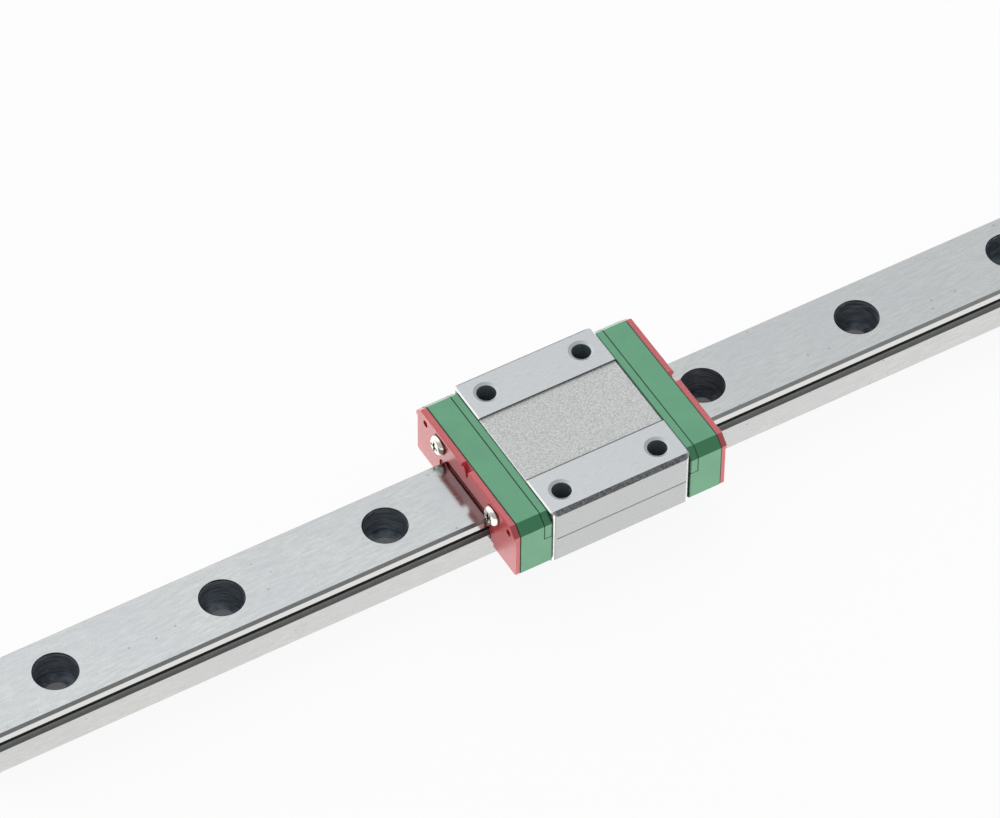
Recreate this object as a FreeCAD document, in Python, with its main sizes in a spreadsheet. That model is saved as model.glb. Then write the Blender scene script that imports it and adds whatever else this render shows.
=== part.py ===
import FreeCAD, Part
import os
import re
import Sketcher

# Miniature profile rail guide, 12 mm class: a rail, and a short carriage with two recirculating
# ball circuits.
#
# Frame: +X along the rail, +Z up, origin at the middle of the rail's underside.  Left is -X, right
# is +X, front is -Y and back is +Y.  The carriage's own pieces are drawn with x = 0 at the middle
# of the carriage and are placed at carriage_x.  End pieces are drawn for the right end, ball
# circuits for the back side, and the opposite ones are the same piece turned half a turn about Z.

# ---------------------------------------------------------------- driving dimensions (mm, degrees)

SIZES = [
    ("rail_length", 200, "rail, end to end"),
    ("rail_width", 12, "rail, over its side faces"),
    ("rail_height", 8, "rail, underside to top face"),
    ("rail_top_chamfer", 0.4, "long edges of the top face"),
    ("rail_foot_chamfer", 0.5, "long edges of the underside"),
    ("rail_hole_pitch", 25, "between fixing holes"),
    ("rail_hole_start", 12.5, "rail end to first fixing hole"),
    ("rail_hole_diameter", 3.5, "clearance hole for an M3 screw"),
    ("rail_bore_diameter", 6, "counterbore for the screw's head"),
    ("rail_bore_depth", 4.5, "counterbore, from the top face"),
    ("rail_bore_rim", 0.2, "chamfer round the counterbore's mouth"),
    ("ball_diameter", 2.381, "3/32 inch balls"),
    ("ball_height", 5.62, "ball centres above the rail's underside"),
    ("loaded_lane", 6.75, "loaded balls, from the middle plane"),
    ("return_lane", 10.08, "returning balls, from the middle plane"),
    ("track_radius", 1.24, "raceways, return holes and turnarounds"),
    ("ball_pitch", 2.41, "between balls in the two straight rows"),
    ("turn_ball_angle", 46, "balls in a turn, from the turn's middle"),
    ("relief_width", 0.6, "relief slot in the bottom of the rail's raceway"),
    ("relief_floor", 5.0, "relief slot's floor, from the middle plane"),
    ("carriage_x", -8.45, "middle of the carriage along the rail"),
    ("carriage_top", 13, "mounting face above the rail's underside"),
    ("carriage_foot", 3, "block's underside above the rail's underside"),
    ("block_length", 21.7, "steel block along the rail"),
    ("block_width", 27, "steel block across the rail"),
    ("block_corner_radius", 1, "upright corners of the block"),
    ("block_side_chamfer", 0.6, "long top and bottom edges of the block"),
    ("block_end_chamfer", 0.2, "cross edges of the mounting face"),
    ("recess_half_width", 6.35, "shallow channel between the two ground lands"),
    ("recess_depth", 0.3, "shallow channel below the lands"),
    ("scribe_height", 7.8, "scribed line along the block's sides"),
    ("scribe_depth", 0.1, "depth of that line"),
    ("channel_half_width", 6.45, "carriage's opening round the rail"),
    ("channel_top", 8.5, "carriage's opening above the rail"),
    ("channel_corner", 0.4, "chamfer in the opening's upper corners"),
    ("mount_spacing_x", 15, "M3 holes along the rail"),
    ("mount_spacing_y", 20, "M3 holes across the rail"),
    ("mount_hole_diameter", 2.75, "M3 thread, crests"),
    ("mount_hole_depth", 3.5, "M3 thread, usable depth"),
    ("mount_rim_width", 0.45, "countersink at the thread's mouth"),
    ("mount_rim_depth", 0.22, "depth of that countersink"),
    ("drill_point_depth", 0.5, "cone left by the drill"),
    ("guide_thickness", 1.15, "inner return guide along the rail"),
    ("seam_width", 0.1, "shadow gap where two end pieces meet"),
    ("seam_depth", 0.12, "depth of that gap"),
    ("end_half_width", 13.3, "end pieces, from the middle plane"),
    ("end_top", 12.7, "end pieces, top face"),
    ("end_chamfer", 1.4, "end pieces, slanted top corners"),
    ("end_foot", 3.5, "end pieces, underside"),
    ("end_foot_chamfer", 0.3, "end pieces, lower corners"),
    ("cap_face", 15.7, "end cap's outer face, from the carriage's middle"),
    ("skirt_thickness", 1.3, "end cap's side skirts"),
    ("skirt_top", 8.7, "top of those skirts"),
    ("skirt_gap", 0.1, "clearance between skirt and return guide"),
    ("scoop_radius", 1.09, "tongues that reach into the rail's raceway"),
    ("scoop_length", 2.3, "tongue of the end cap along the rail"),
    ("lube_port_diameter", 1, "lubrication port in the end cap"),
    ("lube_port_height", 11.3, "lubrication port's centre"),
    ("lube_channel_width", 0.5, "channels from the port to the turnarounds"),
    ("lube_channel_depth", 0.4, "depth of those channels"),
    ("seal_face", 16.7, "end seal's rim, from the carriage's middle"),
    ("seal_inset", 0.05, "seal's outline inside the end cap's"),
    ("seal_edge_round", 0.25, "rounded outer edges of the seal"),
    ("seal_rim", 0.6, "raised rim along the seal's top and slanted corners"),
    ("seal_recess", 0.3, "seal's face below the rim"),
    ("seal_web", 0.45, "thickness left round the wiping lip"),
    ("lip_clearance", 0.12, "wiping lip off the rail"),
    ("mouth_half_width", 7.25, "seal's wide mouth, from the middle plane"),
    ("mouth_top", 8.75, "top of that mouth"),
    ("mouth_top_half_width", 4.8, "half width of the mouth's top edge"),
    ("mouth_shoulder", 7.0, "height where the mouth's slant ends"),
    ("notch_half_width", 1, "vee notch at the middle of the seal's top"),
    ("notch_foot", 10.2, "bottom of the vee"),
    ("notch_web", 0.2, "seal left behind the vee"),
    ("pip_diameter", 1.1, "moulded pockets in the seal's upper corners"),
    ("pip_lane", 11.1, "those pockets, from the middle plane"),
    ("pip_height", 10.4, "those pockets' centres"),
    ("screw_lane", 7.2, "end screws, from the middle plane"),
    ("screw_height", 10.1, "end screws' centres"),
    ("screw_diameter", 1.6, "M1.6 thread"),
    ("screw_hole_diameter", 1.7, "holes for that thread"),
    ("screw_length", 9, "end screw under its head"),
    ("screw_tap_depth", 4.2, "tapped hole in the block's end"),
    ("screw_seat", 16.3, "seat under the screw's head"),
    ("screw_seat_diameter", 3.2, "counterbore in the seal for the head"),
    ("screw_head_diameter", 3, "pan head"),
    ("screw_head_height", 1.05, "pan head"),
    ("screw_head_round", 0.8, "radius of the head's edge"),
    ("recess_blade", 0.45, "width of each blade of the cross recess"),
    ("recess_span", 1.8, "cross recess, tip to tip"),
    ("recess_sink", 0.7, "depth of the cross recess"),
    ("recess_taper", 12, "taper of the cross recess"),
    ("wire_diameter", 0.3, "ball retainer wire"),
    ("wire_lane", 5.39, "straight of the wire, from the middle plane"),
    ("wire_hook_x", 15, "hooked ends of the wire, from the carriage's middle"),
    ("wire_bend_radius", 0.6, "bends between straight and hooks"),
    ("wire_hook_reach", 7.35, "tips of the hooks, from the middle plane"),
    ("wire_pocket_gap", 0.05, "end cap's pocket round a hook"),
]

BALLS_ON_STRAIGHT = 9
RAIL_HOLES = 8

doc = FreeCAD.newDocument("linear_guide")
sizes = doc.addObject("Spreadsheet::Sheet", "sizes")
for row, (alias, number, meaning) in enumerate(SIZES, start=1):
    sizes.set(f"A{row}", meaning)
    sizes.set(f"B{row}", str(number))
    sizes.setAlias(f"B{row}", alias)
doc.recompute()

ALIASES = re.compile(r"\b(" + "|".join(alias for alias, _, _ in SIZES) + r")\b")
NODES = []

# Lengths that follow from the driving dimensions, as expressions of the sheet.
BLOCK_END = "(block_length / 2)"
GUIDE_END = f"({BLOCK_END} + guide_thickness)"
TURN_RADIUS = "((return_lane - loaded_lane) / 2)"
TURN_LANE = "((return_lane + loaded_lane) / 2)"


# ---------------------------------------------------------------- helpers

def value(expression):
    """The number that an expression of the sheet gives."""
    return float(sizes.evalExpression(expression))


def bind(thing, target, expression):
    """Bind a property of an object to an expression of the sheet."""
    thing.setExpression(target, ALIASES.sub(r"sizes.\1", expression))


def minus(expression):
    return f"(0 - ({expression}))"


def mirrored(corners):
    """Corners of a half outline, bottom to top, then the same ones reflected."""
    return corners + [(minus(across), up) for across, up in reversed(corners)]


def new_body(label, quarter_turns=0):
    """A body of the carriage, placed on the rail; two quarter turns make the opposite piece."""
    body = doc.addObject("PartDesign::Body", label)
    place_on_carriage(body, quarter_turns)
    return body


def place_on_carriage(thing, quarter_turns=0):
    turn = FreeCAD.Rotation(FreeCAD.Vector(0, 0, 1), 90 * quarter_turns)
    thing.Placement = FreeCAD.Placement(FreeCAD.Vector(value("carriage_x"), 0, 0), turn)
    bind(thing, ".Placement.Base.x", "carriage_x")


def attach(feature, body, plane, offset=("0", "0", "0")):
    """Attach to one of the body's origin planes, shifted in that plane's own directions."""
    role = f"{plane}_Plane"
    support = next(part for part in body.Origin.OriginFeatures if part.Role == role)
    feature.AttachmentSupport = (support, [""])
    feature.MapMode = "FlatFace"
    shift = FreeCAD.Vector(*[value(expression) for expression in offset])
    feature.AttachmentOffset = FreeCAD.Placement(shift, FreeCAD.Rotation())
    for axis, expression in zip("xyz", offset):
        bind(feature, f".AttachmentOffset.Base.{axis}", expression)


def new_sketch(body, name, plane, height):
    sketch = body.newObject("Sketcher::SketchObject", name)
    attach(sketch, body, plane, ("0", "0", height))
    return sketch


def hold(sketch, kind, geometry, point, expression):
    """Tie one coordinate of a sketch point to the sheet."""
    if abs(value(expression)) < 1e-9:
        axis = -2 if kind == "DistanceX" else -1
        sketch.addConstraint(Sketcher.Constraint("PointOnObject", geometry, point, axis))
        return
    index = sketch.addConstraint(Sketcher.Constraint(kind, -1, 1, geometry, point, value(expression)))
    name = f"{kind[-1].lower()}_{geometry}"
    sketch.renameConstraint(index, name)
    bind(sketch, f"Constraints.{name}", expression)


def draw_outline(sketch, corners):
    """A closed outline of straight lines through corners given as pairs of expressions."""
    first = sketch.GeometryCount
    points = [FreeCAD.Vector(value(across), value(up), 0) for across, up in corners]
    for start, end in zip(points, points[1:] + points[:1]):
        sketch.addGeometry(Part.LineSegment(start, end))
    for index, (across, up) in enumerate(corners):
        following = (index + 1) % len(corners)
        sketch.addConstraint(Sketcher.Constraint("Coincident", first + index, 2, first + following, 1))
        hold(sketch, "DistanceX", first + index, 1, across)
        hold(sketch, "DistanceY", first + index, 1, up)


def draw_circle(sketch, across, up, radius):
    centre = FreeCAD.Vector(value(across), value(up), 0)
    index = sketch.addGeometry(Part.Circle(centre, FreeCAD.Vector(0, 0, 1), value(radius)))
    hold(sketch, "DistanceX", index, 3, across)
    hold(sketch, "DistanceY", index, 3, up)
    constraint = sketch.addConstraint(Sketcher.Constraint("Radius", index, value(radius)))
    sketch.renameConstraint(constraint, f"radius_{index}")
    bind(sketch, f"Constraints.radius_{index}", radius)


def outline_sketch(body, name, plane, height, *outlines):
    sketch = new_sketch(body, name, plane, height)
    for corners in outlines:
        draw_outline(sketch, corners)
    return sketch


def circle_sketch(body, name, plane, height, circles):
    """circles are (across, up, radius), each an expression."""
    sketch = new_sketch(body, name, plane, height)
    for across, up, radius in circles:
        draw_circle(sketch, across, up, radius)
    return sketch


def pad(body, sketch, length, symmetric=False):
    feature = body.newObject("PartDesign::Pad", sketch.Label + "_pad")
    feature.Profile = sketch
    if symmetric:
        feature.SideType = "Symmetric"
    feature.Length = value(length)
    bind(feature, "Length", length)
    doc.recompute()
    return feature


def cut(body, sketch, length=None, forward=True, symmetric=False, taper="0"):
    """Cut along the sketch's normal (forward) or against it; with no length, right through."""
    before = body.Shape.Volume
    feature = body.newObject("PartDesign::Pocket", sketch.Label + "_cut")
    feature.Profile = sketch
    feature.Reversed = forward and not symmetric
    if symmetric:
        feature.SideType = "Symmetric"
    if length is None:
        feature.Type = "ThroughAll"
    else:
        feature.Length = value(length)
        bind(feature, "Length", length)
    if value(taper):
        feature.TaperAngle = value(taper)
        bind(feature, "TaperAngle", taper)
    doc.recompute()
    if not body.Shape.Volume < before:
        raise RuntimeError(f"{feature.Label} cut nothing")
    return feature


def dress(body, kind, name, size, wanted):
    """Chamfer or Fillet those edges of the body so far that pass the test."""
    base = body.Tip
    names = [f"Edge{number}" for number, edge in enumerate(base.Shape.Edges, start=1) if wanted(edge)]
    feature = body.newObject(f"PartDesign::{kind}", name)
    feature.Base = (base, names)
    target = {"Chamfer": "Size", "Fillet": "Radius"}[kind]
    setattr(feature, target, value(size))
    bind(feature, target, size)
    doc.recompute()
    return feature


def drill(body, name, plane, height, circles, length, forward=True):
    return cut(body, circle_sketch(body, name, plane, height, circles), length, forward)


def countersink(body, name, across, up, height, radius, width, depth):
    """A conical rim round a hole whose mouth is at this height."""
    cone = body.newObject("PartDesign::SubtractiveCone", name)
    attach(cone, body, "XY", (across, up, f"{height} - {depth}"))
    for target, expression in (("Radius1", radius), ("Radius2", f"{radius} + {width}"), ("Height", depth)):
        setattr(cone, target, value(expression))
        bind(cone, target, expression)
    doc.recompute()
    return cone


def box_cut(body, name, corner, edges):
    """Cut a box away: its lowest corner, and its edges along X, Y and Z."""
    box = body.newObject("PartDesign::SubtractiveBox", name)
    attach(box, body, "XY", corner)
    for target, expression in zip(("Length", "Width", "Height"), edges):
        setattr(box, target, value(expression))
        bind(box, target, expression)
    doc.recompute()
    return box


def both_sides(across, up, radius):
    """The same circle on both sides of the middle plane."""
    return [(across, up, radius), (minus(across), up, radius)]


def finish(thing, label):
    """Name a finished piece and list it for export."""
    thing.Label = label
    NODES.append(thing)


# ---------------------------------------------------------------- guide rail

def make_rail():
    """Ground steel bar with a raceway along each side and counterbored fixing holes."""
    body = doc.addObject("PartDesign::Body", "guide_rail")
    half = "rail_width / 2"
    profile = mirrored([
        (f"{half} - rail_foot_chamfer", "0"),
        (half, "rail_foot_chamfer"),
        (half, "rail_height - rail_top_chamfer"),
        (f"{half} - rail_top_chamfer", "rail_height"),
    ])
    pad(body, outline_sketch(body, "rail_profile", "YZ", "0", profile), "rail_length", symmetric=True)

    lanes = both_sides("loaded_lane", "ball_height", "track_radius")
    cut(body, circle_sketch(body, "rail_raceways", "YZ", "0", lanes), symmetric=True)

    low = "ball_height - relief_width / 2"
    high = "ball_height + relief_width / 2"
    slots = [[(f"{side} * relief_floor", low), (f"{side} * rail_width / 2", low),
              (f"{side} * rail_width / 2", high), (f"{side} * relief_floor", high)]
             for side in ("1", "(0 - 1)")]
    cut(body, outline_sketch(body, "rail_reliefs", "YZ", "0", *slots), symmetric=True)

    hole_x = [f"rail_hole_start + {index} * rail_hole_pitch - rail_length / 2"
              for index in range(RAIL_HOLES)]
    bores = [(across, "0", "rail_bore_diameter / 2") for across in hole_x]
    drill(body, "rail_bores", "XY", "rail_height", bores, "rail_bore_depth", forward=False)
    holes = [(across, "0", "rail_hole_diameter / 2") for across in hole_x]
    drill(body, "rail_holes", "XY", "rail_height", holes, "rail_height", forward=False)
    for index, across in enumerate(hole_x):
        countersink(body, f"rail_bore_rim_{index}", across, "0", "rail_height",
                    "rail_bore_diameter / 2", "rail_bore_rim", "rail_bore_rim")
    finish(body, "guide_rail")


# ---------------------------------------------------------------- carriage block

def make_block():
    """Hardened steel block: ground mounting lands, raceways, return holes and tapped holes."""
    body = new_body("carriage_block")
    side = "block_width / 2"
    end = BLOCK_END
    plan = new_sketch(body, "block_plan", "XY", "carriage_foot")
    draw_outline(plan, [(minus(end), minus(side)), (end, minus(side)), (end, side), (minus(end), side)])
    pad(body, plan, "carriage_top - carriage_foot")
    dress(body, "Fillet", "block_corners", "block_corner_radius", lambda edge: edge.BoundBox.ZLength > 1)

    rim = "block_side_chamfer"
    line = "scribe_depth"
    wedges = []
    for sign in ("1", "(0 - 1)"):
        face = f"{sign} * {side}"
        inner = f"{sign} * ({side} - {rim})"
        groove = f"{sign} * ({side} - {line})"
        wedges.append([(face, "carriage_top"), (inner, "carriage_top"), (face, f"carriage_top - {rim}")])
        wedges.append([(face, "carriage_foot"), (face, f"carriage_foot + {rim}"), (inner, "carriage_foot")])
        wedges.append([(face, f"scribe_height - {line}"), (face, f"scribe_height + {line}"),
                       (groove, "scribe_height")])
    cut(body, outline_sketch(body, "block_side_cuts", "YZ", "0", *wedges), symmetric=True)

    recess = mirrored([("recess_half_width", "carriage_top - recess_depth"),
                       ("recess_half_width", "carriage_top")])
    cut(body, outline_sketch(body, "block_top_recess", "YZ", "0", recess), symmetric=True)
    floor = value("carriage_top - recess_depth - 0.01")
    dress(body, "Chamfer", "block_end_edges", "block_end_chamfer",
          lambda edge: edge.BoundBox.ZMin > floor and edge.BoundBox.YLength > 1
          and abs(abs(edge.CenterOfMass.x) - value(end)) < 0.01)

    cut(body, outline_sketch(body, "block_channel", "YZ", "0", rail_opening("carriage_foot")),
        symmetric=True)
    lanes = both_sides("loaded_lane", "ball_height", "track_radius")
    cut(body, circle_sketch(body, "block_raceways", "YZ", "0", lanes), symmetric=True)
    lanes = both_sides("return_lane", "ball_height", "track_radius")
    cut(body, circle_sketch(body, "block_return_holes", "YZ", "0", lanes), symmetric=True)

    across = ["mount_spacing_x / 2", minus("mount_spacing_x / 2")]
    up = ["mount_spacing_y / 2", minus("mount_spacing_y / 2")]
    spots = [(one, other) for one in across for other in up]
    threads = [(one, other, "mount_hole_diameter / 2") for one, other in spots]
    drill(body, "block_mount_holes", "XY", "carriage_top", threads, "mount_hole_depth", forward=False)
    for index, (one, other) in enumerate(spots):
        countersink(body, f"block_mount_rim_{index}", one, other, "carriage_top",
                    "mount_hole_diameter / 2", "mount_rim_width", "mount_rim_depth")
        point = body.newObject("PartDesign::SubtractiveCone", f"block_mount_point_{index}")
        attach(point, body, "XY", (one, other, "carriage_top - mount_hole_depth - drill_point_depth"))
        for target, expression in (("Radius1", "0.1 * mount_hole_diameter"),
                                   ("Radius2", "mount_hole_diameter / 2"),
                                   ("Height", "drill_point_depth")):
            setattr(point, target, value(expression))
            bind(point, target, expression)
    screws = both_sides("screw_lane", "screw_height", "screw_hole_diameter / 2")
    drill(body, "block_taps_right", "YZ", end, screws, "screw_tap_depth", forward=False)
    drill(body, "block_taps_left", "YZ", minus(end), screws, "screw_tap_depth")
    finish(body, "carriage_block")


def rail_opening(foot):
    """The opening that straddles the rail, from below the given height to its chamfered top."""
    below = f"{foot} - 0.5"
    return mirrored([
        ("channel_half_width", below),
        ("channel_half_width", "channel_top - channel_corner"),
        ("channel_half_width - channel_corner", "channel_top"),
    ])


# ---------------------------------------------------------------- end pieces

def end_outline(inset):
    """Outline shared by return guide, end cap and seal, seen along the rail."""
    side = f"end_half_width - {inset}"
    top = f"end_top - {inset}"
    return mirrored([
        (f"{side} - end_foot_chamfer", "end_foot"),
        (side, "end_foot + end_foot_chamfer"),
        (side, "end_top - end_chamfer"),
        ("end_half_width - end_chamfer", top),
    ])


def guide_outline(inset):
    """The return guide: full width above the end cap's skirts, narrower between them."""
    side = f"end_half_width - {inset}"
    between = "end_half_width - skirt_thickness - skirt_gap"
    return mirrored([
        (between, "end_foot"),
        (between, "skirt_top + skirt_gap"),
        (side, "skirt_top + skirt_gap"),
        (side, "end_top - end_chamfer"),
        ("end_half_width - end_chamfer", f"end_top - {inset}"),
    ])


def cut_turnarounds(body, name):
    """The half-ring channels in which the balls turn from the raceways to the return holes."""
    for index, lane in enumerate((TURN_LANE, minus(TURN_LANE))):
        ring = body.newObject("PartDesign::SubtractiveTorus", f"{name}_turnaround_{index}")
        attach(ring, body, "XY", (BLOCK_END, lane, "ball_height"))
        for target, expression in (("Radius1", TURN_RADIUS), ("Radius2", "track_radius")):
            setattr(ring, target, value(expression))
            bind(ring, target, expression)
        doc.recompute()


def make_return_guide(label, quarter_turns):
    """Inner plastic plate against the block: the inner walls of both turnarounds."""
    body = new_body(label, quarter_turns)
    pad(body, outline_sketch(body, label + "_plate", "YZ", f"{BLOCK_END} + seam_width",
                             guide_outline("0")), "guide_thickness - seam_width")
    pad(body, outline_sketch(body, label + "_spigot", "YZ", BLOCK_END, guide_outline("seam_depth")),
        "seam_width")
    cut(body, outline_sketch(body, label + "_channel", "YZ", BLOCK_END, rail_opening("end_foot")))
    cut_turnarounds(body, label)
    holes = both_sides("screw_lane", "screw_height", "screw_hole_diameter / 2")
    drill(body, label + "_screw_holes", "YZ", BLOCK_END, holes, None)
    finish(body, label)


def make_end_cap(label, quarter_turns):
    """Outer plastic cap: outer walls of the turnarounds, ball scoops, skirts, lubrication port."""
    body = new_body(label, quarter_turns)
    pad(body, outline_sketch(body, label + "_plate", "YZ", f"{GUIDE_END} + seam_width", end_outline("0")),
        f"cap_face - {GUIDE_END} - seam_width")
    pad(body, outline_sketch(body, label + "_spigot", "YZ", GUIDE_END, end_outline("seam_depth")),
        "seam_width")
    skirts = []
    for sign in ("1", "(0 - 1)"):
        side = f"{sign} * end_half_width"
        lower = f"{sign} * (end_half_width - end_foot_chamfer)"
        inner = f"{sign} * (end_half_width - skirt_thickness)"
        skirts.append([(inner, "end_foot"), (lower, "end_foot"), (side, "end_foot + end_foot_chamfer"),
                       (side, "skirt_top"), (inner, "skirt_top")])
    pad(body, outline_sketch(body, label + "_skirts", "YZ", BLOCK_END, *skirts),
        "guide_thickness + seam_width")
    cut(body, outline_sketch(body, label + "_channel", "YZ", BLOCK_END, rail_opening("end_foot")))
    pad(body, circle_sketch(body, label + "_scoops", "YZ", GUIDE_END,
                            both_sides("loaded_lane", "ball_height", "scoop_radius")), "scoop_length")
    cut_turnarounds(body, label)
    holes = both_sides("screw_lane", "screw_height", "screw_hole_diameter / 2")
    drill(body, label + "_screw_holes", "YZ", GUIDE_END, holes, None)
    port = [("0", "lube_port_height", "lube_port_diameter / 2")]
    drill(body, label + "_lube_port", "YZ", GUIDE_END, port, None)

    wide = "lube_channel_width"
    reach = f"({TURN_LANE} + {wide})"
    box_cut(body, label + "_lube_cross", (GUIDE_END, minus(reach), f"lube_port_height - {wide} / 2"),
            ("lube_channel_depth", f"2 * {reach}", wide))
    gap = "wire_pocket_gap"
    half = f"(wire_diameter / 2 + {gap})"
    for name, lane, low in (("_back", f"{TURN_LANE} + {wide} / 2", "wire_hook_reach - 1.1"),
                            ("_front", minus(f"({TURN_LANE} + 1.5 * {wide})"),
                             minus(f"(wire_hook_reach + {gap})"))):
        box_cut(body, label + name + "_lube_drop", (GUIDE_END, lane, "ball_height"),
                ("lube_channel_depth", wide, "lube_port_height - ball_height"))
        box_cut(body, label + name + "_wire_pocket",
                (f"wire_hook_x - {half}", low, f"ball_height - {half}"),
                (f"2 * {half}", f"1.1 + {gap}", f"2 * {half}"))
    finish(body, label)


def make_end_seal(label, quarter_turns):
    """Plastic and rubber wiper: outer face rimmed above, vee notch, wiping lip close to the rail."""
    body = new_body(label, quarter_turns)
    pad(body, outline_sketch(body, label + "_plate", "YZ", "cap_face + seam_width",
                             end_outline("seal_inset")), "seal_face - cap_face - seam_width")
    rim = value("seal_face")
    floor = value("end_foot + 0.1")
    dress(body, "Fillet", label + "_edges", "seal_edge_round",
          lambda edge: edge.BoundBox.XMin > rim - 0.01 and edge.CenterOfMass.z > floor)
    pad(body, outline_sketch(body, label + "_spigot", "YZ", "cap_face",
                             end_outline("(seal_inset + seam_depth)")), "seam_width")
    recess = mirrored([
        ("end_half_width + 0.5", "end_foot - 0.5"),
        ("end_half_width + 0.5", "end_top - end_chamfer - seal_rim"),
        ("end_half_width - seal_rim / 2", "end_top - end_chamfer - seal_rim"),
        ("end_half_width - end_chamfer - seal_rim / 2", "end_top - seal_rim"),
    ])
    cut(body, outline_sketch(body, label + "_face", "YZ", "seal_face", recess), "seal_recess",
        forward=False)

    off = "lip_clearance"
    half = f"(rail_width / 2 + {off})"
    lip = mirrored([
        (half, "end_foot - 0.5"),
        (half, f"rail_height - rail_top_chamfer + {off}"),
        (f"rail_width / 2 - rail_top_chamfer + {off}", f"rail_height + {off}"),
    ])
    cut(body, outline_sketch(body, label + "_lip", "YZ", "cap_face", lip))
    mouth = mirrored([
        ("mouth_half_width", "end_foot - 0.5"),
        ("mouth_half_width", "mouth_shoulder"),
        ("mouth_top_half_width", "mouth_top"),
    ])
    cut(body, outline_sketch(body, label + "_mouth", "YZ", "cap_face + seal_web", mouth))
    pad(body, circle_sketch(body, label + "_lip_tongues", "YZ", "cap_face",
                            both_sides("loaded_lane", "ball_height", f"track_radius - {off}")),
        "seal_web")

    vee = [(minus("notch_half_width"), "end_top"), ("0", "notch_foot"), ("notch_half_width", "end_top")]
    cut(body, outline_sketch(body, label + "_vee", "YZ", "cap_face + notch_web", vee))
    pips = both_sides("pip_lane", "pip_height", "pip_diameter / 2")
    drill(body, label + "_pips", "YZ", "cap_face + notch_web", pips, None)
    seats = both_sides("screw_lane", "screw_height", "screw_seat_diameter / 2")
    drill(body, label + "_screw_seats", "YZ", "screw_seat", seats, None)
    holes = both_sides("screw_lane", "screw_height", "screw_hole_diameter / 2")
    drill(body, label + "_screw_holes", "YZ", "cap_face", holes, None)
    finish(body, label)


def make_end_screw(name, sign):
    """Pan head screw with a cross recess, along +X, its head seated on the seal."""
    body = doc.addObject("PartDesign::Body", name)
    lane = f"{sign} * screw_lane"
    centre = [(lane, "screw_height", "screw_diameter / 2")]
    pad(body, circle_sketch(body, name + "_shank", "YZ", "screw_seat - screw_length", centre),
        "screw_length")
    centre = [(lane, "screw_height", "screw_head_diameter / 2")]
    pad(body, circle_sketch(body, name + "_head", "YZ", "screw_seat", centre), "screw_head_height")
    crown = value("screw_seat + screw_head_height")
    dress(body, "Fillet", name + "_crown", "screw_head_round",
          lambda edge: abs(edge.BoundBox.XMin - crown) < 1e-4)
    blade = "recess_blade / 2"
    tip = "recess_span / 2"
    cross = [(blade, blade), (blade, tip), (minus(blade), tip), (minus(blade), blade),
             (minus(tip), blade), (minus(tip), minus(blade)), (minus(blade), minus(blade)),
             (minus(blade), minus(tip)), (blade, minus(tip)), (blade, minus(blade)),
             (tip, minus(blade)), (tip, blade)]
    cross = [(f"{lane} + {across}", f"screw_height + {up}") for across, up in cross]
    cut(body, outline_sketch(body, name + "_recess", "YZ", "screw_seat + screw_head_height", cross),
        "recess_sink", forward=False, taper="0 - recess_taper")
    return body


def make_end_screws(label, quarter_turns):
    screws = [make_end_screw(f"{label}_{side}", sign) for side, sign in (("a", "1"), ("b", "(0 - 1)"))]
    group = doc.addObject("Part::Compound", label)
    group.Links = screws
    place_on_carriage(group, quarter_turns)
    finish(group, label)


# ---------------------------------------------------------------- ball circuits

def make_balls(label, places):
    """Separate balls at the given places in the carriage's own frame, as one group."""
    group = doc.addObject("Part::Compound", label)
    balls = []
    for index, place in enumerate(places):
        ball = doc.addObject("Part::Sphere", f"{label}_{index}")
        bind(ball, "Radius", "ball_diameter / 2")
        for axis, expression in zip("xyz", place):
            bind(ball, f".Placement.Base.{axis}", expression)
        balls.append(ball)
    group.Links = balls
    place_on_carriage(group)
    finish(group, label)


def make_circuit(side, sign):
    """One closed loop of balls: loaded row, return row, and two balls in each turn."""
    steps = [index - (BALLS_ON_STRAIGHT - 1) / 2 for index in range(BALLS_ON_STRAIGHT)]
    for name, lane in (("loaded", "loaded_lane"), ("return", "return_lane")):
        places = [(f"{step} * ball_pitch", f"{sign} * {lane}", "ball_height") for step in steps]
        make_balls(f"{side}_{name}_balls", places)
    for name, end in (("left", "(0 - 1)"), ("right", "1")):
        places = [(f"{end} * ({BLOCK_END} + {TURN_RADIUS} * cos({angle}))",
                   f"{sign} * ({TURN_LANE} + {TURN_RADIUS} * sin({angle}))",
                   "ball_height") for angle in ("turn_ball_angle", minus("turn_ball_angle"))]
        make_balls(f"{side}_{name}_turn_balls", places)


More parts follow.
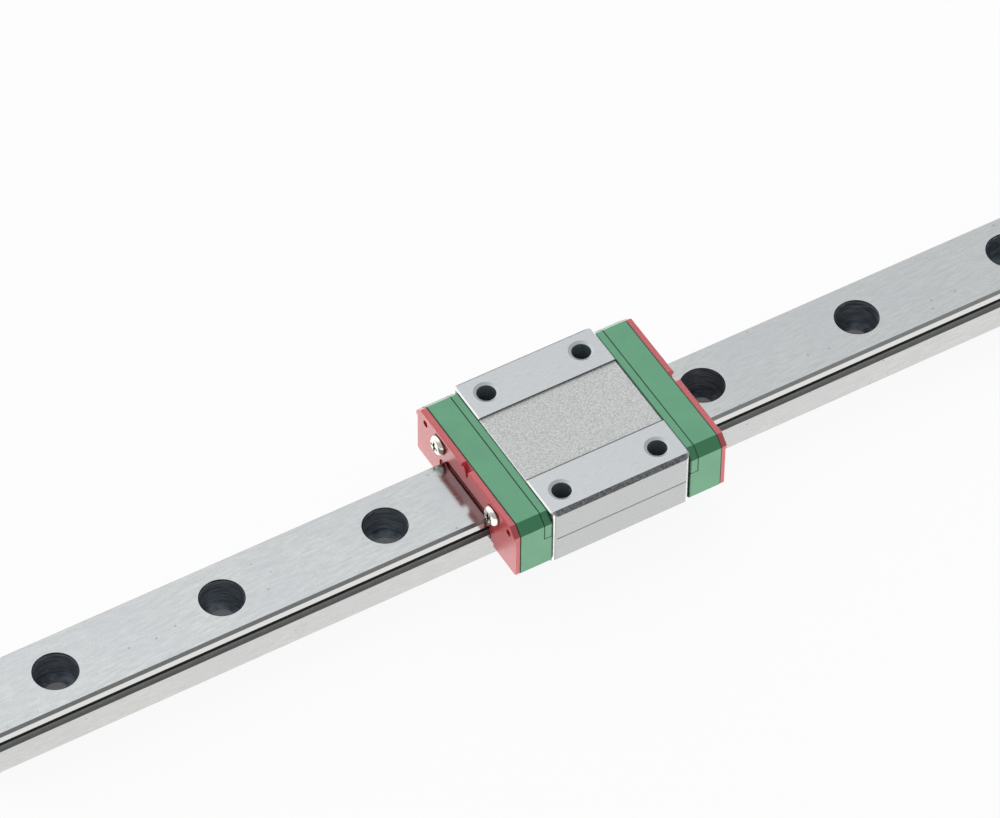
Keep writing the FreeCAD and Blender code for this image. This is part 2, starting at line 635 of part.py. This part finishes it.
def make_retainer_wire(label, quarter_turns):
    """Spring wire along the loaded balls, with a hooked end in each end cap."""
    straight = doc.addObject("Part::Cylinder", label + "_straight")
    bend_x = "(wire_hook_x - wire_bend_radius)"
    bend_y = "(wire_lane + wire_bend_radius)"
    straight.Placement.Rotation = FreeCAD.Rotation(FreeCAD.Vector(0, 1, 0), 90)
    bind(straight, "Radius", "wire_diameter / 2")
    bind(straight, "Height", f"2 * {bend_x}")
    bind(straight, ".Placement.Base.x", minus(bend_x))
    bind(straight, ".Placement.Base.y", "wire_lane")
    bind(straight, ".Placement.Base.z", "ball_height")
    pieces = [straight]
    for name, end, quarter in (("_right", "1", 270), ("_left", "(0 - 1)", 180)):
        bend = doc.addObject("Part::Torus", label + name + "_bend")
        bind(bend, "Radius1", "wire_bend_radius")
        bind(bend, "Radius2", "wire_diameter / 2")
        bend.Angle3 = 90
        bend.Placement.Rotation = FreeCAD.Rotation(FreeCAD.Vector(0, 0, 1), quarter)
        bind(bend, ".Placement.Base.x", f"{end} * {bend_x}")
        bind(bend, ".Placement.Base.y", bend_y)
        bind(bend, ".Placement.Base.z", "ball_height")
        hook = doc.addObject("Part::Cylinder", label + name + "_hook")
        hook.Placement.Rotation = FreeCAD.Rotation(FreeCAD.Vector(1, 0, 0), -90)
        bind(hook, "Radius", "wire_diameter / 2")
        bind(hook, "Height", f"wire_hook_reach - {bend_y}")
        bind(hook, ".Placement.Base.x", f"{end} * wire_hook_x")
        bind(hook, ".Placement.Base.y", bend_y)
        bind(hook, ".Placement.Base.z", "ball_height")
        pieces += [bend, hook]
    wire = doc.addObject("Part::MultiFuse", label)
    wire.Shapes = pieces
    place_on_carriage(wire, quarter_turns)
    finish(wire, label)


# ---------------------------------------------------------------- assembly and export

def check_document():
    """Stop at any feature that failed, and at any piece without a sound shape."""
    doc.recompute()
    failed = [thing.Label for thing in doc.Objects
              if "Invalid" in thing.State or "Error" in thing.State]
    if failed:
        raise RuntimeError(f"failed features: {failed}")
    for thing in NODES:
        if thing.Shape.isNull() or not thing.Shape.isValid():
            raise RuntimeError(f"{thing.Label} has no valid shape")


make_rail()
make_block()
for hand, half_turn in (("left", 2), ("right", 0)):
    make_return_guide(f"{hand}_return_guide", half_turn)
    make_end_cap(f"{hand}_end_cap", half_turn)
    make_end_seal(f"{hand}_end_seal", half_turn)
    make_end_screws(f"{hand}_end_screws", half_turn)
for hand, half_turn, sign in (("front", 2, "(0 - 1)"), ("back", 0, "1")):
    make_retainer_wire(f"{hand}_retainer_wire", half_turn)
    make_circuit(hand, sign)
check_document()

os.makedirs("parts", exist_ok=True)
for node in NODES:
    node.Shape.exportStep(f"parts/{node.Label}.step")
    box = node.Shape.BoundBox
    print(f"{node.Label}: {len(node.Shape.Solids)} solids, {node.Shape.Volume:.2f} mm3, "
          f"x {box.XMin:.2f}..{box.XMax:.2f}, y {box.YMin:.2f}..{box.YMax:.2f}, "
          f"z {box.ZMin:.2f}..{box.ZMax:.2f}")
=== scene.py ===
import math

import bpy
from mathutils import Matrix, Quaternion, Vector


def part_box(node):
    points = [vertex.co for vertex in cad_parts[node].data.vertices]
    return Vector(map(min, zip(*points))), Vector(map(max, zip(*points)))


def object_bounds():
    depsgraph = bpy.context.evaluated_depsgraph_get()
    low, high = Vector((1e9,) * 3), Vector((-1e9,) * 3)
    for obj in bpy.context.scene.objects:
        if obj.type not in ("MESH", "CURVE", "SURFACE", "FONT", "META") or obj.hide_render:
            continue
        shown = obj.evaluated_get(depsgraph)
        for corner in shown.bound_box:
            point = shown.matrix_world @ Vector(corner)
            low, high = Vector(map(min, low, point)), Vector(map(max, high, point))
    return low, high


# Looks for a miniature profile rail guide.  Metres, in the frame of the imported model: +X along the
# rail, +Z up.  Materials measure in millimetres from the frame's origin.

MM = 0.001
RAIL_HOLE_PITCH = 25.0  # mm, with a hole half a pitch to each side of the origin
SKIRT_TOP = 8.7  # mm above the rail's base: the end cap's side skirts, on which the guide's plate ends
COUNTERBORE_DEPTH = 4.5
COUNTERBORE_RADIUS = 3.0
HOLE_MOUTH_RADIUS = 3.2  # of the counterbore's chamfer
RAIL_CHAMFER = 0.4
RACEWAY_LOW, RACEWAY_HIGH = 4.2, 7.0
LIP_LOW = 6.4  # where the rail is full width again above its raceway
CHANNEL_HALF_WIDTH = 6.35  # the shallow channel between the block's lands
CHANNEL_DEPTH = 0.3
SCRIBE_HEIGHT = 7.8
MOUNT_ALONG, MOUNT_ACROSS = 7.5, 10.0  # from the carriage's middle to its tapped holes
TAPPED_RADIUS = 1.4
COLOUR_A, COLOUR_B, COLOUR_RESULT = 6, 7, 2  # a Mix node's sockets for colours
NUMBER_FACTOR, NUMBER_A, NUMBER_B, NUMBER_RESULT = 0, 2, 3, 0  # and for numbers
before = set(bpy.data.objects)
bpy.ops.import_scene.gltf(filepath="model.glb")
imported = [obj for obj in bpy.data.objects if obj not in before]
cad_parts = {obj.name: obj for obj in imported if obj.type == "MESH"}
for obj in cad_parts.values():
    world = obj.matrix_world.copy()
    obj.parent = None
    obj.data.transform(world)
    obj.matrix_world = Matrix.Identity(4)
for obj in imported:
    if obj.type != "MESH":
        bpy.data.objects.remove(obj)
cad_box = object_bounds()


# ---------------------------------------------------------------- node graph helpers

class Finish:
    """A Principled material, written as a graph over object coordinates in millimetres."""

    def __init__(self, name, **constants):
        self.material = bpy.data.materials.new(name)
        self.material.use_nodes = True
        self.tree = self.material.node_tree
        self.surface = self.tree.nodes["Principled BSDF"]
        for socket, value in constants.items():
            self.surface.inputs[socket.replace("_", " ").title().replace("Ior", "IOR")].default_value = value
        coordinates = self.tree.nodes.new("ShaderNodeTexCoord").outputs["Object"]
        self.place = self.vector("SCALE", coordinates, scale=1 / MM)
        self.x, self.y, self.z = self.split(self.place)

    def feed(self, socket, value):
        if isinstance(value, bpy.types.NodeSocket):
            self.tree.links.new(value, socket)
        else:
            socket.default_value = value

    def set(self, socket, value):
        self.feed(self.surface.inputs[socket], value)

    def math(self, operation, *values, clamp=False):
        node = self.tree.nodes.new("ShaderNodeMath")
        node.operation = operation
        node.use_clamp = clamp
        for socket, value in zip(node.inputs, values):
            self.feed(socket, value)
        return node.outputs["Value"]

    def vector(self, operation, *values, scale=None):
        node = self.tree.nodes.new("ShaderNodeVectorMath")
        node.operation = operation
        for socket, value in zip(node.inputs, values):
            self.feed(socket, value)
        if scale is not None:
            node.inputs["Scale"].default_value = scale
        return node.outputs["Vector"]

    def length(self, first, second):
        """Distance from the origin in a plane."""
        squares = [self.math("MULTIPLY", part, part) for part in (first, second)]
        return self.math("SQRT", self.math("ADD", *squares))

    def split(self, vector):
        node = self.tree.nodes.new("ShaderNodeSeparateXYZ")
        self.feed(node.inputs[0], vector)
        return node.outputs

    def stretched(self, across, turn=0.0):
        """Coordinates scaled by axis, after a turn about Z in degrees: more cycles where larger."""
        node = self.tree.nodes.new("ShaderNodeMapping")
        node.vector_type = "TEXTURE"
        self.feed(node.inputs["Vector"], self.place)
        node.inputs["Rotation"].default_value = (0, 0, math.radians(turn))
        node.inputs["Scale"].default_value = [1 / amount for amount in across]
        return node.outputs["Vector"]

    def noise(self, scale, detail=2.0, roughness=0.5, vector=None):
        node = self.tree.nodes.new("ShaderNodeTexNoise")
        self.feed(node.inputs["Vector"], vector or self.place)
        node.inputs["Scale"].default_value = scale
        node.inputs["Detail"].default_value = detail
        node.inputs["Roughness"].default_value = roughness
        return node.outputs["Fac"]

    def cells(self, scale, vector=None):
        """Distance to the nearest of scattered points."""
        node = self.tree.nodes.new("ShaderNodeTexVoronoi")
        self.feed(node.inputs["Vector"], vector or self.place)
        node.inputs["Scale"].default_value = scale
        return node.outputs["Distance"]

    def band(self, value, low, high, soft=0.02):
        """1 where the value is between low and high, 0 outside, with soft edges."""
        rise = self.smooth(value, low - soft, low + soft)
        fall = self.smooth(value, high - soft, high + soft)
        return self.math("SUBTRACT", rise, fall, clamp=True)

    def smooth(self, value, low, high, start=0.0, end=1.0):
        node = self.tree.nodes.new("ShaderNodeMapRange")
        node.interpolation_type = "SMOOTHSTEP"
        self.feed(node.inputs["Value"], value)
        node.inputs["From Min"].default_value = low
        node.inputs["From Max"].default_value = high
        node.inputs["To Min"].default_value = start
        node.inputs["To Max"].default_value = end
        return node.outputs["Result"]

    def both(self, *masks):
        result = masks[0]
        for mask in masks[1:]:
            result = self.math("MULTIPLY", result, mask)
        return result

    def either(self, *masks):
        result = masks[0]
        for mask in masks[1:]:
            result = self.math("MAXIMUM", result, mask)
        return result

    def blend(self, factor, first, second):
        """Mix of two colours."""
        node = self.tree.nodes.new("ShaderNodeMix")
        node.data_type = "RGBA"
        self.feed(node.inputs["Factor"], factor)
        self.feed(node.inputs[COLOUR_A], rgba(first))
        self.feed(node.inputs[COLOUR_B], rgba(second))
        return node.outputs[COLOUR_RESULT]

    def fade(self, factor, first, second):
        """Mix of two numbers."""
        node = self.tree.nodes.new("ShaderNodeMix")
        self.feed(node.inputs[NUMBER_FACTOR], factor)
        self.feed(node.inputs[NUMBER_A], first)
        self.feed(node.inputs[NUMBER_B], second)
        return node.outputs[NUMBER_RESULT]

    def facing(self):
        """The true normal's parts, in the object's own axes."""
        normal = self.tree.nodes.new("ShaderNodeNewGeometry").outputs["True Normal"]
        node = self.tree.nodes.new("ShaderNodeVectorTransform")
        node.vector_type = "NORMAL"
        node.convert_from = "WORLD"
        node.convert_to = "OBJECT"
        self.feed(node.inputs["Vector"], normal)
        return self.split(node.outputs["Vector"])

    def bump(self, height, depth, strength=1.0, edge=0.0):
        """Relief of that depth in millimetres where the height runs from 0 to 1, and softened edges."""
        node = self.tree.nodes.new("ShaderNodeBump")
        if edge:
            rounded = self.tree.nodes.new("ShaderNodeBevel")
            rounded.samples = 4
            rounded.inputs["Radius"].default_value = edge * MM
            self.feed(node.inputs["Normal"], rounded.outputs["Normal"])
        self.feed(node.inputs["Height"], height)
        node.inputs["Distance"].default_value = depth * MM
        node.inputs["Strength"].default_value = strength
        self.set("Normal", node.outputs["Normal"])


def rgba(colour):
    return colour if isinstance(colour, bpy.types.NodeSocket) else (*colour, 1.0)


# ---------------------------------------------------------------- materials

def rail_steel():
    """Surface ground bearing steel, with painted shade on the chamfers and in the raceways, a painted
    highlight on the lips above them, and oxide with painted shade and painted light in the fixing holes.
    """
    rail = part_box("guide_rail")
    half = rail[1].y / MM
    top = rail[1].z / MM
    seat = top - COUNTERBORE_DEPTH
    steel = Finish("rail_steel")
    grain = steel.noise(1.0, 4, 0.6, steel.stretched((0.45, 2.4, 2.4), 3))
    fine = steel.noise(1.0, 3, 0.6, steel.stretched((2.2, 9, 9), 3))
    cloud = steel.noise(0.10, 3, 0.5)
    tone = steel.fade(0.5, grain, fine)
    ground = steel.blend(steel.smooth(tone, 0.3, 0.7), (0.355, 0.361, 0.358), (0.432, 0.436, 0.434))
    ground = steel.blend(steel.smooth(cloud, 0.35, 0.7, 0, 0.5), ground, (0.372, 0.378, 0.392))
    specks = steel.smooth(steel.cells(0.4), 0.04, 0.10, 0.6, 0)
    ground = steel.blend(specks, ground, (0.2, 0.2, 0.2))

    side = steel.math("ABSOLUTE", steel.y)
    slope = steel.math("ADD", side, steel.z)
    chamfer = steel.both(steel.band(slope, half + top - RAIL_CHAMFER - 0.02, half + top - 0.02, 0.01),
                         steel.smooth(side, half - RAIL_CHAMFER - 0.02, half - RAIL_CHAMFER + 0.02),
                         steel.smooth(steel.z, top - RAIL_CHAMFER - 0.02, top - RAIL_CHAMFER + 0.02))
    lip = steel.both(steel.smooth(side, half - 0.03, half - 0.01),
                     steel.smooth(steel.z, LIP_LOW, LIP_LOW + 0.1))
    race = steel.both(steel.smooth(side, half - 0.03, half - 0.01, 1, 0),
                      steel.smooth(side, half - 1.6, half - 1.5),
                      steel.band(steel.z, RACEWAY_LOW, RACEWAY_HIGH))
    reach = from_rail_hole(steel)
    bore = steel.both(steel.smooth(reach, HOLE_MOUTH_RADIUS + 0.01, HOLE_MOUTH_RADIUS + 0.03, 1, 0),
                      steel.smooth(steel.z, top - 0.03, top - 0.01, 1, 0),
                      steel.smooth(steel.z, 0.02, 0.05))
    drilled = steel.smooth(steel.z, seat - 0.1, seat - 0.05, 1, 0)
    # Mottle for the painted shade on the chamfers.
    scale = steel.noise(2.2, 4, 0.6)
    turned = steel.noise(1.0, 3, 0.6, steel.stretched((0.5, 0.5, 7)))
    # Painted highlight: the flat lips above the raceways are a little lighter than the ground steel.
    colour = steel.blend(lip, ground, (0.45, 0.455, 0.452))
    # Painted shade on the rail's top chamfers, mottled by the noise above.
    colour = steel.blend(chamfer, colour, steel.blend(scale, (0.165, 0.17, 0.166), (0.225, 0.23, 0.226)))
    # Painted shade in the raceway grooves.
    colour = steel.blend(race, colour, steel.blend(grain, (0.06, 0.065, 0.062), (0.12, 0.126, 0.122)))
    # Counterbore walls: turned oxide, darkened further as painted shade.
    oxide = steel.blend(steel.smooth(turned, 0.3, 0.7), (0.08, 0.092, 0.108), (0.36, 0.40, 0.44))
    # Painted light: the drilled wall below the seat is near white.
    oxide = steel.blend(drilled, oxide, (0.85, 0.86, 0.86))
    # Painted shade: a near-black ring on the chamfer round each counterbore's mouth.
    oxide = steel.blend(steel.smooth(reach, COUNTERBORE_RADIUS, COUNTERBORE_RADIUS + 0.02),
                        oxide, (0.02, 0.024, 0.03))
    steel.set("Base Color", steel.blend(bore, colour, oxide))
    metal = steel.smooth(bore, 0, 1, 1.0, 0.75)
    steel.set("Metallic", steel.fade(race, metal, 0.45))
    rough = steel.smooth(tone, 0.25, 0.75, 0.11, 0.17)
    rough = steel.fade(race, rough, 0.42)
    rough = steel.fade(chamfer, rough, 0.35)
    steel.set("Roughness", steel.fade(bore, rough, 0.34))
    steel.bump(tone, 0.002, 0.5)
    return steel.material


def from_rail_hole(finish):
    """Distance in plan from the axis of the nearest of the rail's fixing holes."""
    half_pitch = RAIL_HOLE_PITCH / 2
    along = finish.math("SUBTRACT", half_pitch, finish.math("PINGPONG", finish.x, half_pitch))
    return finish.length(along, finish.y)


def block_steel():
    """Hardened steel block: ground lands and sides, a pickled channel, painted shade on the chamfers, by the
    channel walls, in the scribed line and in the tapped holes, and painted highlights on the end edges.
    """
    low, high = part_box("carriage_block")
    centre = (low.x + high.x) / 2 / MM
    end = (high.x - low.x) / 2 / MM
    half = high.y / MM
    top = high.z / MM
    floor = top - CHANNEL_DEPTH
    steel = Finish("block_steel", metallic=1.0)
    normal_x, normal_y, _ = steel.facing()
    side = steel.math("ABSOLUTE", steel.y)
    along = steel.math("ABSOLUTE", steel.math("SUBTRACT", steel.x, centre))
    grain = steel.noise(1.0, 4, 0.6, steel.stretched((0.7, 6, 6)))
    cloud = steel.noise(0.35, 3, 0.5)
    ground = steel.blend(steel.smooth(grain, 0.3, 0.7), (0.322, 0.332, 0.337), (0.36, 0.368, 0.378))
    ground = steel.blend(steel.smooth(cloud, 0.4, 0.7, 0, 0.3), ground, (0.345, 0.345, 0.363))

    speck = steel.noise(4.0, 4, 0.7)
    coarse = steel.noise(0.9, 3, 0.6)
    pickled = steel.blend(steel.smooth(speck, 0.35, 0.65), (0.325, 0.327, 0.322), (0.52, 0.52, 0.512))
    pickled = steel.blend(steel.smooth(coarse, 0.35, 0.7, 0, 0.3), pickled, (0.46, 0.455, 0.445))
    sunk = steel.smooth(steel.z, floor - 0.03, floor - 0.01)
    below_land = steel.smooth(steel.z, top - 0.02, top - 0.01, 1, 0)
    recess = steel.both(steel.smooth(side, CHANNEL_HALF_WIDTH - 0.02, CHANNEL_HALF_WIDTH + 0.01, 1, 0),
                        sunk, steel.smooth(steel.z, floor + 0.01, floor + 0.04, 1, 0))
    # Painted shade along the channel's walls: a strip of channel floor by the near wall, and the far wall
    # itself.
    near_corner = steel.both(steel.band(steel.y, -CHANNEL_HALF_WIDTH - 0.02, -CHANNEL_HALF_WIDTH + 0.4),
                             sunk, below_land)
    far_wall = steel.both(steel.band(steel.y, CHANNEL_HALF_WIDTH - 0.04, CHANNEL_HALF_WIDTH + 0.05),
                          steel.smooth(steel.z, floor + 0.01, floor + 0.03), below_land)
    wall = steel.either(near_corner, far_wall)

    slant = steel.band(steel.math("ABSOLUTE", normal_y), 0.5, 0.85)
    sloped = steel.both(slant, steel.smooth(side, half - 0.7, half - 0.65))
    # Painted shade on the sloped top edges, mottled, stopping short of the block's ends.
    scale = steel.noise(2.6, 5, 0.75)
    scaled = steel.blend(steel.smooth(scale, 0.35, 0.65), (0.075, 0.076, 0.078), (0.19, 0.19, 0.195))
    worn_end = steel.smooth(along, end - 0.9, end - 0.1, 1, 0)
    chamfer = steel.both(sloped, worn_end)
    # Painted highlight along the chamfers at the block's ends.
    worn_edge = steel.both(steel.either(steel.band(normal_x, -0.8, -0.62), steel.band(normal_x, 0.35, 0.75)),
                           steel.smooth(along, end - 0.9, end - 0.8))
    reach = steel.length(steel.math("SUBTRACT", along, MOUNT_ALONG),
                         steel.math("SUBTRACT", side, MOUNT_ACROSS))
    rim = steel.both(steel.smooth(reach, 1.85, 1.88, 1, 0), below_land)
    # Painted shade inside the tapped holes, with less metal shine.
    tapped = steel.both(steel.smooth(reach, TAPPED_RADIUS - 0.01, TAPPED_RADIUS + 0.01, 1, 0),
                        steel.smooth(steel.z, top - 0.25, top - 0.2, 1, 0))
    # Painted shade in and beside the scribed line.
    scribe = steel.both(steel.band(steel.z, SCRIBE_HEIGHT - 0.13, SCRIBE_HEIGHT + 0.13, 0.1),
                        steel.smooth(side, half - 0.2, half - 0.15),
                        steel.smooth(along, end - 0.9, end - 0.5, 1, 0))

    colour = steel.blend(recess, ground, pickled)
    # Painted shade by the channel walls.
    colour = steel.blend(wall, colour, (0.14, 0.14, 0.14))
    # Painted shade on the chamfers.
    colour = steel.blend(chamfer, colour, scaled)
    colour = steel.blend(scribe, colour, (0.26, 0.26, 0.258))
    # Painted highlight on the end edges.
    colour = steel.blend(worn_edge, colour, (0.72, 0.725, 0.72))
    colour = steel.blend(rim, colour, (0.41, 0.415, 0.42))
    colour = steel.blend(tapped, colour, steel.blend(speck, (0.10, 0.13, 0.135), (0.17, 0.205, 0.21)))
    steel.set("Base Color", colour)
    steel.set("Metallic", steel.smooth(tapped, 0, 1, 1.0, 0.25))
    rough = steel.smooth(grain, 0.25, 0.75, 0.24, 0.34)
    rough = steel.fade(recess, rough, 0.55)
    rough = steel.fade(chamfer, rough, 0.5)
    steel.set("Roughness", rough)
    relief = steel.fade(steel.either(recess, chamfer), steel.math("MULTIPLY", grain, 0.25), speck)
    steel.bump(relief, 0.02, 0.5, edge=0.08)
    return steel.material


def moulded_plastic(name, dark, light, deep, seam, **constants):
    """Injection moulded plastic: flow clouds, fine texture, painted shade on the slanted faces and in the
    seams.
    """
    plastic = Finish(name, **constants)
    cloud = plastic.noise(0.16, 4, 0.6)
    fine = plastic.noise(5.0, 3, 0.6)
    pores = plastic.noise(14.0, 2, 0.5)
    colour = plastic.blend(plastic.smooth(cloud, 0.3, 0.7), dark, light)
    colour = plastic.blend(plastic.smooth(fine, 0.45, 0.75, 0, 0.2), colour, light)
    normal_y = plastic.math("ABSOLUTE", plastic.facing()[1])
    # Painted shade on the slanted faces.
    colour = plastic.blend(plastic.band(normal_y, 0.5, 0.85), colour, deep)
    # Painted shade in the joints between parts.
    grime = plastic.math("MULTIPLY", end_seams(plastic), plastic.smooth(fine, 0.2, 0.6, 0.6, 0.9))
    plastic.set("Base Color", plastic.blend(grime, colour, seam))
    plastic.set("Roughness", plastic.smooth(fine, 0.25, 0.75, 0.30, 0.42))
    plastic.bump(plastic.fade(0.5, fine, pores), 0.012, 0.5, edge=0.15)
    return plastic.material


def end_seams(plastic):
    """1 along the joints between block, return guide, end cap and end seal, and along the ledge on the
    skirts: where the seam shade is painted.
    """
    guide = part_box("left_return_guide")
    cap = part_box("left_end_cap")
    middle = carriage_middle()
    joints = [middle - guide[1].x / MM, middle - guide[0].x / MM, middle - cap[0].x / MM]
    step = SKIRT_TOP
    along = plastic.math("ABSOLUTE", plastic.math("SUBTRACT", plastic.x, middle))
    above = plastic.smooth(plastic.z, step - 0.1, step)
    lines = [plastic.band(along, joint - 0.06, joint + 0.14, 0.05) for joint in joints]
    lines[1] = plastic.both(lines[1], above)
    ledge = plastic.both(plastic.band(plastic.z, step - 0.06, step + 0.06, 0.05),
                         plastic.smooth(along, joints[1], joints[1] + 0.1, 1, 0))
    return plastic.either(*lines, ledge)


def carriage_middle():
    """Where the carriage stands along the rail, in millimetres."""
    low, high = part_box("carriage_block")
    return (low.x + high.x) / 2 / MM


def bright_steel(name, dark, light, roughness, scale):
    """Plated or polished steel with fine scuffs."""
    steel = Finish(name, metallic=1.0)
    scuff = steel.noise(scale, 4, 0.6)
    steel.set("Base Color", steel.blend(steel.smooth(scuff, 0.3, 0.7), dark, light))
    steel.set("Roughness", steel.smooth(scuff, 0.3, 0.7, roughness, roughness + 0.08))
    steel.bump(scuff, 0.006, 0.3)
    return steel.material


def screw_steel():
    """Nickel plate, bright on the crowns, with painted shade in the cross recesses and round the rims."""
    low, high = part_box("left_end_screws")
    radius = (high.z - low.z) / 2 / MM
    height = (high.z + low.z) / 2 / MM
    lane = high.y / MM - radius
    middle = carriage_middle()
    crown = middle - low.x / MM
    steel = Finish("screw_steel", metallic=1.0)
    scuff = steel.noise(3.0, 4, 0.6)
    plate = steel.blend(steel.smooth(scuff, 0.3, 0.7), (0.62, 0.60, 0.54), (0.84, 0.82, 0.76))
    across = steel.math("SUBTRACT", steel.math("ABSOLUTE", steel.y), lane)
    reach = steel.length(across, steel.math("SUBTRACT", steel.z, height))
    sunk = steel.math("SUBTRACT", crown, steel.math("ABSOLUTE", steel.math("SUBTRACT", steel.x, middle)))
    # Painted shade in the cross recesses and round the rims of the heads.
    recess = steel.both(steel.smooth(sunk, 0.05, 0.12), steel.smooth(reach, 0.98, 1.02, 1, 0))
    rim = steel.smooth(sunk, 0.55, 0.85)
    colour = steel.blend(rim, plate, (0.22, 0.20, 0.17))
    steel.set("Base Color", steel.blend(recess, colour, (0.07, 0.062, 0.05)))
    steel.set("Roughness", steel.smooth(scuff, 0.3, 0.7, 0.12, 0.2))
    steel.bump(scuff, 0.006, 0.3)
    return steel.material


def dress_nodes():
    finishes = {
        "rail_steel": rail_steel(),
        "block_steel": block_steel(),
        # The last two colours of each plastic are painted shade: on the slanted faces, then in the seams.
        "green_plastic": moulded_plastic("green_plastic", (0.045, 0.232, 0.108), (0.055, 0.268, 0.126),
                                         (0.0, 0.115, 0.035), (0.006, 0.06, 0.026), ior=1.5,
                                         coat_weight=0.35, coat_roughness=0.3),
        "red_seal": moulded_plastic("red_seal", (0.40, 0.014, 0.022), (0.46, 0.032, 0.042),
                                    (0.26, 0.006, 0.012), (0.10, 0.01, 0.012), ior=1.6,
                                    coat_weight=0.5, coat_roughness=0.3,
                                    subsurface_weight=0.25, subsurface_scale=0.0012),
        "screw_steel": screw_steel(),
        "wire_steel": bright_steel("wire_steel", (0.55, 0.55, 0.55), (0.66, 0.66, 0.66), 0.2, 6.0),
        "ball_steel": bright_steel("ball_steel", (0.66, 0.66, 0.67), (0.72, 0.72, 0.73), 0.06, 2.0),
    }
    for name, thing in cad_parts.items():
        slot = slot_of(name)
        thing.data.materials.clear()
        thing.data.materials.append(finishes[slot])


def slot_of(node):
    """The finish a node has in the record."""
    kinds = {"guide_rail": "rail_steel", "carriage_block": "block_steel", "seal": "red_seal",
             "screws": "screw_steel", "wire": "wire_steel", "balls": "ball_steel"}
    for ending, slot in kinds.items():
        if node.endswith(ending):
            return slot
    return "green_plastic"


# ---------------------------------------------------------------- stage

def make_floor():
    """A panel lit from within, so that shadows on it stay faint.  It is dark under the fixing holes,
    and clear from below."""
    bpy.ops.mesh.primitive_plane_add(size=8, location=(0, 0, cad_box[0].z - 0.02 * MM))
    floor = bpy.context.object
    floor.name = "floor"
    panel = Finish("floor_panel", roughness=0.7)
    panel.set("Base Color", panel.blend(panel.noise(0.004, 2, 0.5),
                                        (0.018, 0.018, 0.018), (0.022, 0.022, 0.022)))
    seen = panel.tree.nodes.new("ShaderNodeLightPath").outputs["Is Camera Ray"]
    glow = panel.fade(seen, 1.55, 0.922)
    rail_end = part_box("guide_rail")[1].x / MM
    under_hole = panel.both(panel.smooth(from_rail_hole(panel), 2.5, 2.7, 1, 0),
                            panel.smooth(panel.math("ABSOLUTE", panel.x), rail_end - 1, rail_end, 1, 0))
    panel.set("Emission Strength", panel.fade(under_hole, glow, 0.1))
    panel.set("Emission Color", panel.blend(seen, (1, 0.985, 0.967), (0.995, 0.995, 0.995)))
    below = panel.tree.nodes.new("ShaderNodeNewGeometry").outputs["Backfacing"]
    panel.set("Alpha", panel.math("SUBTRACT", 1.0, below))
    floor.data.materials.append(panel.material)


def make_world():
    """A soft white studio: bright above and behind, dim in front."""
    world = bpy.data.worlds.new("studio")
    bpy.context.scene.world = world
    world.use_nodes = True
    tree = world.node_tree
    direction = tree.nodes.new("ShaderNodeTexCoord").outputs["Generated"]
    height = tree.nodes.new("ShaderNodeVectorMath")
    height.operation = "DOT_PRODUCT"
    tree.links.new(direction, height.inputs[0])
    height.inputs[1].default_value = (0.0, 0.7, 0.714)
    level = tree.nodes.new("ShaderNodeMapRange")
    level.interpolation_type = "SMOOTHSTEP"
    tree.links.new(height.outputs["Value"], level.inputs["Value"])
    level.inputs["From Min"].default_value = 0.2
    level.inputs["From Max"].default_value = 0.85
    level.inputs["To Min"].default_value = 0.62
    level.inputs["To Max"].default_value = 1.3
    background = tree.nodes["Background"]
    cards = tree.nodes.new("ShaderNodeMath")
    cards.operation = "ADD"
    tree.links.new(level.outputs["Result"], cards.inputs[0])
    tree.links.new(side_cards(tree, direction), cards.inputs[1])
    tree.links.new(cards.outputs["Value"], background.inputs["Strength"])
    background.inputs["Color"].default_value = (0.965, 0.99, 1, 1)


def side_cards(tree, direction):
    """Extra light from the back on the left and from the front on the right."""
    parts = tree.nodes.new("ShaderNodeSeparateXYZ")
    tree.links.new(direction, parts.inputs[0])

    def ramp(part, low, high, start, end):
        node = tree.nodes.new("ShaderNodeMapRange")
        node.interpolation_type = "SMOOTHSTEP"
        tree.links.new(parts.outputs[part], node.inputs["Value"])
        for socket, value in zip(("From Min", "From Max", "To Min", "To Max"), (low, high, start, end)):
            node.inputs[socket].default_value = value
        return node.outputs["Result"]

    def combine(operation, first, second):
        node = tree.nodes.new("ShaderNodeMath")
        node.operation = operation
        tree.links.new(first, node.inputs[0])
        tree.links.new(second, node.inputs[1])
        return node.outputs["Value"]

    back_left = combine("MULTIPLY", ramp("X", 0.22, 0.42, 0.27, 0.0), ramp("Y", 0.0, 0.4, 0.0, 1.0))
    front_right = combine("MULTIPLY", ramp("X", 0.37, 0.43, 0.0, 1.0), ramp("Y", -0.6, -0.35, 1.0, 0.0))
    front_right = combine("MULTIPLY", front_right, ramp("X", 0.6, 0.75, 1.0, 0.0))
    return combine("ADD", back_left, front_right)


def make_key_light():
    """A weak, distant sun, high at the back on the right."""
    data = bpy.data.lights.new("key", "SUN")
    data.energy = 0.1
    data.angle = math.radians(5)
    light = bpy.data.objects.new("key", data)
    bpy.context.scene.collection.objects.link(light)
    towards = Vector((0.25, 0.45, 0.86))
    light.rotation_mode = "QUATERNION"
    light.rotation_quaternion = towards.to_track_quat("Z", "Y")


def make_camera():
    """The three-quarter view from above, with a long lens."""
    target = Vector((-13.67, 10.15, 8.0)) * MM
    azimuth = math.radians(-30.78)
    elevation = math.radians(49.07)
    roll = math.radians(0.574)
    distance = 0.8958
    back = Vector((math.sin(azimuth) * math.cos(elevation),
                   -math.cos(azimuth) * math.cos(elevation),
                   math.sin(elevation)))
    data = bpy.data.cameras.new("camera")
    data.lens = 236.4
    data.sensor_width = 36
    camera = bpy.data.objects.new("camera", data)
    bpy.context.scene.collection.objects.link(camera)
    camera.location = target + back * distance
    camera.rotation_mode = "QUATERNION"
    camera.rotation_quaternion = (-back).to_track_quat("-Z", "Y") @ Quaternion((0, 0, 1), roll)
    bpy.context.scene.camera = camera


dress_nodes()
make_floor()
make_world()
make_key_light()
make_camera()
bpy.context.scene.view_settings.view_transform = "Standard"
